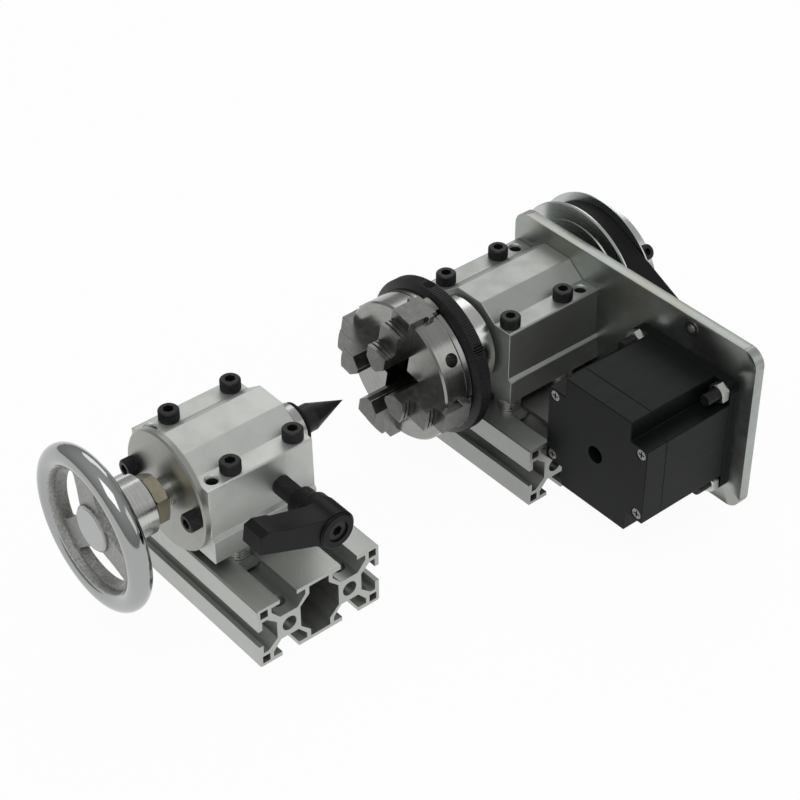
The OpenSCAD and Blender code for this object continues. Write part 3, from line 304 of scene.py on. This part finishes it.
def turned_steel(name, colour, rough=0.24, pitch=0.3):
    f = Finish(name, colour, 1.0, rough)
    marks = f.turning(AXIS, pitch)
    f.tint(f.ramp(marks, 0.4, 0.72), scaled(colour, 1.25), 0.6)
    f.tint(f.ramp(f.noise(5, 3, seed=51), 0.5, 0.8), scaled(colour, 0.7), 0.4)
    f.polish(marks, rough - 0.05, rough + 0.08)
    f.relief(marks, 0.012, 0.2)
    return f.done()


def handwheel_metal():
    """Chromed rim and boss, and a cast web between them that is rough under the plating, with painted shade
    in the low points of its relief.
    """
    f = Finish("chromed casting", (0.36, 0.375, 0.365), 1.0, 0.1)
    radius = f.axis_radius(AXIS)
    blend = 1 * MM
    inner, outer = 9.3 * MM, 26.8 * MM
    past_boss = f.ramp(radius, inner, inner + 0.6 * blend)
    short_of_rim = f.ramp(radius, outer, outer + blend, 1.0, 0.0)
    web = f.math("MULTIPLY", short_of_rim, past_boss)
    coarse = f.noise(1.1, 4, roughness=0.7, seed=61)
    fine = f.noise(0.4, 2, seed=62)
    shaded_hollows = f.math("MULTIPLY", web, f.ramp(coarse, 0.42, 0.62, 1.0, 0.0))
    f.tint(web, (0.43, 0.435, 0.42))
    # Painted shade in the low points of the cast web's relief.
    f.tint(shaded_hollows, (0.25, 0.25, 0.235), 0.8)
    f.polish(web, 0.1, 0.3)
    f.relief(f.math("MULTIPLY", web, coarse), 0.6, 0.9)
    f.relief(f.math("MULTIPLY", web, fine), 0.15, 0.7)
    f.relief(f.noise(6, 2, seed=63), 0.12, 0.25)
    return f.done()


def belt_rubber():
    f = Finish("belt rubber", (0.006, 0.006, 0.0065), 0.0, 0.55, Specular_IOR_Level=0.15)
    grain = f.noise(0.3, 2, (4, 1, 1), seed=71)
    f.tint(f.ramp(grain, 0.5, 0.8), (0.02, 0.02, 0.022), 0.6)
    f.polish(grain, 0.45, 0.62)
    f.relief(grain, 0.05, 0.4)
    return f.done()


def lever_plastic():
    f = Finish("textured black lever", (0.005, 0.005, 0.0055), 0.0, 0.4, Specular_IOR_Level=0.15)
    grain = f.noise(0.4, 3, seed=81)
    f.tint(f.ramp(grain, 0.5, 0.8), (0.022, 0.022, 0.023), 0.6)
    f.polish(grain, 0.34, 0.5)
    f.relief(grain, 0.08, 0.5)
    return f.done()


def top_holes(mount):
    """Places of the two empty threaded holes in a housing's shoulders."""
    half = mount["dims"]["spacing_y_mm"] / 2 * MM
    x, y, z = mount["pos_m"]
    return [(x, y + side * half, z) for side in (-1, 1)]


# A little wider than the hole itself, so that the painted shade covers its wall too
HOLE_SHADE_R = MOUNTS["headstock_top_holes"]["dims"]["hole_r_mm"] + 0.12
EXTRUSION = extruded_aluminium("anodised extrusion", 1.0)
# The headstock's copy is the same extrusion, made darker as painted shade where less light falls on it.
EXTRUSION_SHADED = extruded_aluminium("extrusion with painted shade", 0.7)
BLASTED = blasted_aluminium("blasted tailstock", 1.0, top_holes(MOUNTS["tailstock_top_holes"]))
# The headstock's copy is the same blasted casting, made darker as painted shade where less light falls on it.
BLASTED_SHADED = blasted_aluminium("blasted headstock with painted shade", 0.72, top_holes(MOUNTS["headstock_top_holes"]))
PULLEY = pulley_aluminium()
PLATE = plated_plate()
ZINC = plated_steel("zinc plated steel", (0.56, 0.57, 0.55))
# A darker plated steel; on the plate insert its darkness is painted shade.
DARKER_PLATED = plated_steel("darker plated steel", (0.27, 0.275, 0.265), 0.34)
BRASSY = plated_steel("yellowed plated steel", (0.36, 0.33, 0.25), 0.34)
BLACK = black_oxide()
MOTOR_PAINT = motor_paint()
CHUCK = chuck_steel()
JAW = jaw_steel()
SHAFT = turned_steel("turned steel", (0.40, 0.405, 0.39))
BRIGHT = turned_steel("bright turned steel", (0.52, 0.53, 0.51), 0.2, 0.5)
DISC = turned_steel("dull end disc", (0.33, 0.335, 0.31), 0.36, 0.25)
WHEEL = handwheel_metal()
BELT = belt_rubber()
LEVER = lever_plastic()

FINISH_OF = {
    "headstock_profile": EXTRUSION_SHADED, "tailstock_profile": EXTRUSION,
    "headstock_housing": BLASTED_SHADED, "tailstock_housing": BLASTED,
    "headstock_washers": ZINC, "tailstock_washers": ZINC,
    "headstock_tee_nuts": ZINC, "tailstock_tee_nuts": ZINC, "motor_nuts": ZINC,
    # The plate insert's darker plated steel is painted shade for its dark hole.
    "motor_cap_screws": DARKER_PLATED, "plate_insert": DARKER_PLATED,
    "headstock_bolts": BLACK, "tailstock_bolts": BLACK, "plate_screws": BLACK,
    "motor_bolts": BLACK, "chuck_screws": BLACK, "pulley_clamp_screw": BLACK,
    "motor_pulley_screw": BLACK, "end_disc_screws": BLACK, "scroll_ring": BLACK,
    "clamp_stud": BLACK, "lever_screw": BLACK, "turning_centre": BLACK,
    "motor_plate": PLATE, "motor_flange": MOTOR_PAINT, "motor_body": MOTOR_PAINT,
    "motor_rear_cap": MOTOR_PAINT, "motor_grommet": BELT, "centre_seal": BELT, "drive_belt": BELT,
    "chuck_body": CHUCK, "chuck_back_plate": BRIGHT,
    "chuck_jaw_1": JAW, "chuck_jaw_2": JAW, "chuck_jaw_3": JAW, "chuck_jaw_4": JAW,
    "spindle_shaft": SHAFT, "spindle_bearings": SHAFT, "motor_shaft": SHAFT,
    "quill": SHAFT, "feed_screw": SHAFT, "lever_spring": SHAFT,
    "spindle_pulley": PULLEY, "pulley_flanges": PULLEY, "motor_pulley": PULLEY,
    "end_disc": DISC, "lock_nut": BRASSY, "wheel_hub": BRIGHT, "handwheel": WHEEL,
    "clamp_lever": LEVER,
}
for name, piece in nodes.items():
    piece.data.materials.clear()
    piece.data.materials.append(FINISH_OF[name])


def ride_like(piece, node):
    """Puts a piece on the body of a CAD node."""
    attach(piece, BODY_OF[node])


# Rules that repeat: knurls and threads
def start_tree(name, sizes, counts=()):
    """A new Geometry Nodes tree with named inputs, and the sockets that give their values."""
    tree = bpy.data.node_groups.new(name, "GeometryNodeTree")
    for key, value in sizes.items():
        kind = "NodeSocketInt" if key in counts else "NodeSocketFloat"
        tree.interface.new_socket(key, in_out="INPUT", socket_type=kind).default_value = value
    tree.interface.new_socket("Finish", in_out="INPUT", socket_type="NodeSocketMaterial")
    tree.interface.new_socket("Shape", in_out="OUTPUT", socket_type="NodeSocketGeometry")
    return tree, tree.nodes.new("NodeGroupInput").outputs


def put(tree, kind, links=None, **props):
    """Adds a node, sets its properties, and links or sets its inputs by name."""
    node = tree.nodes.new(kind)
    for key, value in props.items():
        setattr(node, key, value)
    for key, value in (links or {}).items():
        if isinstance(value, bpy.types.NodeSocket):
            tree.links.new(value, node.inputs[key])
        else:
            node.inputs[key].default_value = value
    return node


def end_tree(tree, shape, given):
    """Gives the tree's shape its finish, and makes it the tree's output."""
    whole = put(tree, "GeometryNodeRealizeInstances", {0: shape})
    dressed = put(
        tree, "GeometryNodeSetMaterial",
        {"Geometry": whole.outputs[0], "Material": given["Finish"]},
    )
    out = put(tree, "NodeGroupOutput")
    tree.links.new(dressed.outputs[0], out.inputs["Shape"])
    return tree


def ribbed_band_tree():
    """Ribs along Z, side by side around a circle."""
    tree, given = start_tree(
        "ribbed band",
        {"Count": 60, "Radius": 0.01, "Length": 0.004, "Width": 0.0004, "Height": 0.0003},
        ("Count",),
    )
    ring = put(tree, "GeometryNodeMeshCircle", {"Vertices": given["Count"], "Radius": given["Radius"]})
    rib = put(
        tree, "GeometryNodeMeshCylinder",
        {"Vertices": 4, "Radius": given["Height"], "Depth": given["Length"]},
    )
    ratio = put(tree, "ShaderNodeMath", {0: given["Width"], 1: given["Height"]}, operation="DIVIDE")
    half = put(tree, "ShaderNodeMath", {0: ratio.outputs[0], 1: 0.5}, operation="MULTIPLY")
    size = put(tree, "ShaderNodeCombineXYZ", {"X": 1.0, "Y": half.outputs[0], "Z": 1.0})
    flat = put(tree, "GeometryNodeTransform", {"Geometry": rib.outputs["Mesh"], "Scale": size.outputs[0]})
    place = put(tree, "GeometryNodeInputPosition")
    aim = put(
        tree, "FunctionNodeAlignRotationToVector", {"Vector": place.outputs[0]},
        axis="X", pivot_axis="Z",
    )
    many = put(
        tree, "GeometryNodeInstanceOnPoints",
        {"Points": ring.outputs[0], "Instance": flat.outputs[0], "Rotation": aim.outputs[0]},
    )
    return end_tree(tree, many.outputs[0], given)


def thread_tree():
    """A thread's ridge, or a spring's wire, that winds up along Z."""
    tree, given = start_tree(
        "thread",
        {"Radius": 0.004, "Length": 0.01, "Pitch": 0.001, "Depth": 0.0005, "Steps": 24, "Sides": 4},
        ("Steps", "Sides"),
    )
    turns = put(tree, "ShaderNodeMath", {0: given["Length"], 1: given["Pitch"]}, operation="DIVIDE")
    path = put(
        tree, "GeometryNodeCurveSpiral",
        {"Resolution": given["Steps"], "Rotations": turns.outputs[0], "Start Radius": given["Radius"],
         "End Radius": given["Radius"], "Height": given["Length"]},
    )
    ridge = put(
        tree, "GeometryNodeCurvePrimitiveCircle",
        {"Resolution": given["Sides"], "Radius": given["Depth"]}, mode="RADIUS",
    )
    solid = put(
        tree, "GeometryNodeCurveToMesh",
        {"Curve": path.outputs[0], "Profile Curve": ridge.outputs[0], "Fill Caps": True},
    )
    return end_tree(tree, solid.outputs[0], given)


def grown(name, tree, finish, places, **sizes):
    """Runs a tree with these sizes, puts a copy of its shape at each place, and gives back one plain mesh."""
    holder = bpy.data.objects.new(name, bpy.data.meshes.new(name))
    bpy.context.scene.collection.objects.link(holder)
    work = holder.modifiers.new("work", "NODES")
    work.node_group = tree
    for item in tree.interface.items_tree:
        if item.in_out == "INPUT" and item.name in sizes:
            work[item.identifier] = sizes[item.name]
        elif item.in_out == "INPUT" and item.name == "Finish":
            work[item.identifier] = finish
    seen = holder.evaluated_get(bpy.context.evaluated_depsgraph_get())
    shape = bpy.data.meshes.new_from_object(seen)
    holder.modifiers.remove(work)
    bm = bmesh.new()
    for place in places:
        one = shape.copy()
        one.transform(place)
        bm.from_mesh(one)
        bpy.data.meshes.remove(one)
    bmesh.ops.recalc_face_normals(bm, faces=bm.faces)
    bm.to_mesh(holder.data)
    bm.free()
    holder.data.materials.clear()
    holder.data.materials.append(finish)
    return holder


def along(point, direction):
    """Places a shape that is made along Z at a point, with Z along direction."""
    aim = Vector(direction).to_track_quat("Z", "Y").to_matrix().to_4x4()
    return Matrix.Translation(Vector(point)) @ aim


def solid_tops(node, up):
    """Centre of the far end, along up, of each loose solid of a node."""
    bm = bmesh.new()
    bm.from_mesh(nodes[node].data)
    bmesh.ops.remove_doubles(bm, verts=bm.verts, dist=WELD)
    left = set(bm.verts)
    up = Vector(up)
    found = []
    while left:
        stack = [left.pop()]
        group = list(stack)
        while stack:
            for edge in stack.pop().link_edges:
                for vert in edge.verts:
                    if vert in left:
                        left.remove(vert)
                        group.append(vert)
                        stack.append(vert)
        top = max(v.co.dot(up) for v in group)
        near = [v.co for v in group if v.co.dot(up) > top - WELD / 2]
        found.append(sum(near, Vector()) / len(near))
    bm.free()
    return sorted(found, key=lambda v: (round(v.x, 5), round(v.y, 5), round(v.z, 5)))


RIBS = ribbed_band_tree()
THREAD = thread_tree()


def knurled_heads(node, up, radius, height=5):
    """Fine ribs around the heads of cap screws whose radius and height are in mm."""
    up = Vector(up)
    plain = 1.1
    places = [along(mid - up * (height / 2) * MM, up) for mid in solid_tops(node, up)]
    piece = grown(
        node + "_knurl", RIBS, BLACK, places, Count=44, Radius=radius * MM,
        Length=(height - plain) * MM, Width=0.42 * MM, Height=0.13 * MM,
    )
    ride_like(piece, node)


def threaded(name, node, start, direction, finish, radius, length, pitch, depth):
    """A thread, with its sizes in mm, on a plain shank of a node."""
    piece = grown(
        name, THREAD, finish, [along(start, direction)], Radius=radius * MM, Length=length * MM,
        Pitch=pitch * MM, Depth=depth * MM, Steps=28,
    )
    ride_like(piece, node)


# Softened copies of hard-edged nodes
FLAT_ANGLE = math.radians(0.6)
CURVE_STEP = (math.radians(0.4), math.radians(40))
CREASE = math.radians(50)


def softened(node, width_mm, min_edge_mm, segments=2, angle=28):
    """Stands for a node: the same solid with its long sharp edges rounded a little.

    Flat faces stay crisp, because only the edges between curved or rounded faces are smooth.
    """
    mesh = nodes[node].data.copy()
    mesh.name = node + "_soft"
    bm = bmesh.new()
    bm.from_mesh(mesh)
    bmesh.ops.remove_doubles(bm, verts=bm.verts, dist=WELD)
    bmesh.ops.dissolve_limit(bm, angle_limit=FLAT_ANGLE, verts=bm.verts, edges=bm.edges)
    sharp = [
        e for e in bm.edges
        if len(e.link_faces) == 2 and e.calc_length() > min_edge_mm * MM
        and e.calc_face_angle() > math.radians(angle)
    ]
    strips = bmesh.ops.bevel(
        bm, geom=sharp, offset=width_mm * MM, offset_type="OFFSET", segments=segments,
        profile=0.5, affect="EDGES", clamp_overlap=True,
    )
    bm.normal_update()
    strips = set(strips["faces"])
    curved = {
        f for f in bm.faces if f in strips or any(
            CURVE_STEP[0] < e.calc_face_angle(0) < CURVE_STEP[1]
            and not strips.intersection(e.link_faces) for e in f.edges)
    }
    for face in bm.faces:
        face.smooth = True
    for edge in bm.edges:
        edge.smooth = curved.issuperset(edge.link_faces) and edge.calc_face_angle(0) < CREASE
    bmesh.ops.triangulate(bm, faces=[f for f in bm.faces if len(f.verts) > 4])
    bm.to_mesh(mesh)
    bm.free()
    piece = bpy.data.objects.new(node + "_soft", mesh)
    bpy.context.scene.collection.objects.link(piece)
    ride_like(piece, node)
    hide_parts(node)


for node in ("headstock_housing", "tailstock_housing"):
    softened(node, 0.35, 3)
for node in ("headstock_profile", "tailstock_profile"):
    softened(node, 0.12, 1.5, 1)
softened("motor_plate", 0.5, 4)
softened("motor_rear_cap", 0.3, 3)
softened("motor_body", 0.3, 3)
softened("motor_flange", 0.3, 3)
softened("clamp_lever", 0.6, 0.9, 3, 35)
for k in (1, 2, 3, 4):
    softened("chuck_jaw_%d" % k, 0.2, 2.5)


# Knurls, threads and the spring in place
def lever_coil():
    """The lever's spring as a real coil."""
    lo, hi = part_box("lever_spring")
    wire = 0.5 * MM
    gap = 0.1 * MM
    x, z = (lo.x + hi.x) / 2, (lo.z + hi.z) / 2
    length = hi.y - lo.y
    free = length - 2 * wire
    coil = grown(
        "lever_coil", THREAD, SHAFT, [along((x, hi.y - wire, z), (0, -1, 0))],
        Radius=(hi.x - lo.x) / 2 - wire - gap, Length=free, Pitch=free / 3.5, Depth=wire,
        Steps=32, Sides=10,
    )
    ride_like(coil, "lever_spring")
    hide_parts("lever_spring")
    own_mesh(coil)


def scroll_knurl():
    """Ribs around the scroll ring, which stop short of both its rims."""
    lo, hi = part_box("scroll_ring")
    middle = hi.x - 3.3 * MM
    band = grown(
        "scroll_knurl", RIBS, BLACK, [along((middle, 0, AXIS.z), (1, 0, 0))], Count=190,
        Radius=(hi.y - lo.y) / 2 - 0.02 * MM, Length=4.9 * MM, Width=0.75 * MM, Height=0.3 * MM,
    )
    ride_like(band, "scroll_ring")


def stud_thread():
    """The open thread between the tailstock and the lever."""
    lo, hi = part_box("clamp_stud")
    start = Vector(((lo.x + hi.x) / 2, -25.0 * MM, AXIS.z))
    threaded(
        "stud_thread", "clamp_stud", start, (0, -1, 0), BLACK,
        radius=3.98, length=14, pitch=1.25, depth=0.3,
    )


def feed_thread():
    """The feed screw's thread between its lock nut and the end disc."""
    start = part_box("lock_nut")[1].x
    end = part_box("end_disc")[0].x
    threaded(
        "feed_thread", "feed_screw", (start + 0.4 * MM, 0, AXIS.z), (1, 0, 0), SHAFT,
        radius=6, length=(end - start) / MM - 0.9, pitch=1.25, depth=0.3,
    )


def motor_bolt_threads():
    """The ends of the motor's bolts, which stand out past their nuts."""
    for k, tip in enumerate(solid_tops("motor_bolts", (-1, 0, 0))):
        threaded(
            "motor_bolt_thread_%d" % (k + 1), "motor_bolts", tip + Vector((0.5 * MM, 0, 0)),
            (1, 0, 0), BLACK, radius=2.45, length=5.6, pitch=0.8, depth=0.22,
        )


HEAD_R = 4.25
SMALL_HEAD_R = 4.0
knurled_heads("headstock_bolts", (0, 0, 1), HEAD_R)
knurled_heads("tailstock_bolts", (0, 0, 1), HEAD_R)
knurled_heads("motor_bolts", (1, 0, 0), HEAD_R)
knurled_heads("end_disc_screws", (-1, 0, 0), SMALL_HEAD_R)
scroll_knurl()
stud_thread()
lever_coil()
feed_thread()
motor_bolt_threads()


# Stage, lights and camera
def any_of(tree, *signals):
    """The largest of several signals."""
    out = signals[0]
    for signal in signals[1:]:
        node = tree.nodes.new("ShaderNodeMath")
        node.operation = "MAXIMUM"
        tree.links.new(out, node.inputs[0])
        tree.links.new(signal, node.inputs[1])
        out = node.outputs[0]
    return out


def stage_floor(glow_share):
    """A pale floor that looks white, and keeps the object's shadow in the rest of its look."""
    bpy.ops.mesh.primitive_plane_add(size=14, location=(0, 0, -0.2 * MM))
    floor = bpy.context.object
    floor.name = "floor"
    mat = bpy.data.materials.new("pale floor")
    mat.use_nodes = True
    tree = mat.node_tree
    shader = tree.nodes["Principled BSDF"]
    shader.inputs["Base Color"].default_value = (0.9, 0.9, 0.9, 1)
    shader.inputs["Roughness"].default_value = 0.9
    shader.inputs["Specular IOR Level"].default_value = 0.0
    glow = tree.nodes.new("ShaderNodeEmission")
    glow.inputs["Color"].default_value = (1, 1, 1, 1)
    glow.inputs["Strength"].default_value = 1.0
    path = tree.nodes.new("ShaderNodeLightPath").outputs
    seen = any_of(tree, path["Is Camera Ray"], path["Is Glossy Ray"], path["Is Transmission Ray"])
    share = tree.nodes.new("ShaderNodeMath")
    share.operation = "MULTIPLY"
    share.inputs[1].default_value = glow_share
    mix = tree.nodes.new("ShaderNodeMixShader")
    tree.links.new(seen, share.inputs[0])
    tree.links.new(share.outputs[0], mix.inputs["Fac"])
    tree.links.new(shader.outputs[0], mix.inputs[1])
    tree.links.new(glow.outputs[0], mix.inputs[2])
    tree.links.new(mix.outputs[0], tree.nodes["Material Output"].inputs["Surface"])
    floor.data.materials.append(mat)


def world_light(low, high):
    """A white studio whose light goes from low below to high above, and that the camera sees as white."""
    world = bpy.data.worlds.new("studio")
    bpy.context.scene.world = world
    world.use_nodes = True
    tree = world.node_tree
    back = tree.nodes["Background"]
    back.inputs["Color"].default_value = (1, 1, 1, 1)
    place = tree.nodes.new("ShaderNodeTexCoord")
    split = tree.nodes.new("ShaderNodeSeparateXYZ")
    height = tree.nodes.new("ShaderNodeMapRange")
    for key, value in (("From Min", -0.05), ("From Max", 0.95), ("To Min", low), ("To Max", high)):
        height.inputs[key].default_value = value
    path = tree.nodes.new("ShaderNodeLightPath")
    level = tree.nodes.new("ShaderNodeMix")
    link = tree.links.new
    link(place.outputs["Generated"], split.inputs[0])
    link(split.outputs["Z"], height.inputs["Value"])
    link(path.outputs["Is Camera Ray"], level.inputs["Factor"])
    link(height.outputs["Result"], level.inputs["A"])
    level.inputs["B"].default_value = 1.0
    link(level.outputs["Result"], back.inputs["Strength"])


def softbox(name, at, aim, size, watts):
    lamp = bpy.data.lights.new(name, "AREA")
    lamp.shape = "RECTANGLE"
    lamp.size, lamp.size_y = size
    lamp.energy = watts
    box = bpy.data.objects.new(name, lamp)
    box.location = at
    box.rotation_euler = (Vector(aim) - Vector(at)).to_track_quat("-Z", "Y").to_euler()
    bpy.context.scene.collection.objects.link(box)


def photo_camera(focal_px, azimuth, elevation, roll, at_mm, photo_px=800):
    """The photo's camera: focal length in the photo's pixels, angles in degrees and place in mm."""
    data = bpy.data.cameras.new("photo camera")
    data.sensor_width = 36.0
    data.lens = focal_px / photo_px * data.sensor_width
    data.clip_start = 0.01
    data.clip_end = 30
    camera = bpy.data.objects.new("photo camera", data)
    a, e, r = (math.radians(v) for v in (azimuth, elevation, roll))
    back = Vector((math.sin(a) * math.cos(e), -math.cos(a) * math.cos(e), math.sin(e)))
    right = Vector((math.cos(a), math.sin(a), 0))
    up = back.cross(right)
    right, up = right * math.cos(r) + up * math.sin(r), up * math.cos(r) - right * math.sin(r)
    turn = Matrix((right, up, back)).transposed().to_4x4()
    camera.matrix_world = Matrix.Translation(Vector(at_mm) * MM) @ turn
    bpy.context.scene.collection.objects.link(camera)
    bpy.context.scene.camera = camera


stage_floor(glow_share=0.96)
world_light(low=0.30, high=0.62)
softbox("key", at=(-0.5, -0.35, 1.1), aim=(-0.05, -0.03, 0.04), size=(0.7, 0.7), watts=3.4)
softbox("far side", at=(0.75, 0.7, 0.9), aim=(0, 0, 0.05), size=(0.9, 0.6), watts=2.4)
softbox("right side", at=(0.7, -0.9, 0.6), aim=(0, -0.05, 0.05), size=(0.5, 0.7), watts=1.0)
photo_camera(
    focal_px=2059.95, azimuth=-39.671, elevation=38.454, roll=-0.377,
    at_mm=(-493.02, -524.41, 582.21),
)
bpy.context.scene.view_settings.view_transform = "Standard"
